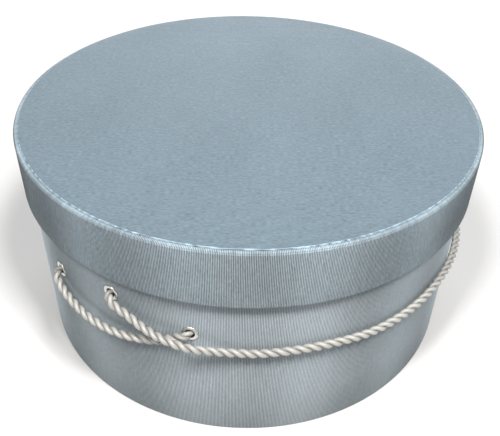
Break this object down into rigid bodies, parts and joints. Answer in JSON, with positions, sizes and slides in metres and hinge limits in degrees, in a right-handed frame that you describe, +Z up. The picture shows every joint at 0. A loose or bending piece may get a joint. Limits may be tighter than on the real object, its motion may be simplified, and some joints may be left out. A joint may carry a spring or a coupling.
{
  "type": "hat box",
  "caption": "Round hat box of fabric-covered board with a deep lift-off lid, a twisted carry cord and short cord loops held in metal eyelets.",
  "frame": {"origin": "centre of the base, on the surface the box stands on", "axes": "+Z up along the axis of the round box; +Y to the back, so the carry cord hangs round the front (-Y); its two eyelets lie on the X axis"},
  "size_m": [0.3694, 0.3615, 0.181],
  "materials": {
    "ribbed_fabric": "fine upright ribs, soft satin sheen, pale blue-grey",
    "greyboard": "raw grey-brown board, only at cut edges",
    "base_paper": "matt smooth paper, blue-grey",
    "lining_paper": "matt smooth paper, off-white",
    "satin_nickel": "satin nickel",
    "cord_fibre": "two-strand twisted cord, soft white"
  },
  "bodies": {
    "box": {"base_disc": "greyboard", "base_cover": "base_paper", "base_lining": "lining_paper", "body_wall": "greyboard", "body_cover": "ribbed_fabric", "body_lining": "lining_paper", "eyelet_left_rear": "satin_nickel", "eyelet_left_middle": "satin_nickel", "eyelet_left_front": "satin_nickel", "eyelet_right_rear": "satin_nickel", "eyelet_right_middle": "satin_nickel", "eyelet_right_front": "satin_nickel", "washer_left_rear": "satin_nickel", "washer_left_middle": "satin_nickel", "washer_left_front": "satin_nickel", "washer_right_rear": "satin_nickel", "washer_right_middle": "satin_nickel", "washer_right_front": "satin_nickel", "side_loop_left": "cord_fibre", "side_loop_right": "cord_fibre", "loop_knot_left_rear": "cord_fibre", "loop_knot_left_front": "cord_fibre", "loop_knot_right_rear": "cord_fibre", "loop_knot_right_front": "cord_fibre"},
    "lid": {"lid_disc": "greyboard", "lid_band": "greyboard", "lid_band_cover": "ribbed_fabric", "lid_top_card": "greyboard", "lid_top_cover": "ribbed_fabric", "lid_band_lining": "lining_paper", "lid_disc_lining": "lining_paper"},
    "carry_handle": {"carry_cord": "cord_fibre", "carry_knot_left": "cord_fibre", "carry_knot_right": "cord_fibre"}
  },
  "joints": [
    {"name": "lid_lift", "type": "slide", "parent": "box", "child": "lid", "axis": [0, 0, 1], "range_m": [0, 0.2]},
    {"name": "carry_cord_swing", "type": "hinge", "parent": "box", "child": "carry_handle", "pos_m": [0, 0, 0.116], "axis": [-1, 0, 0], "range_deg": [0, 12]}
  ]
}
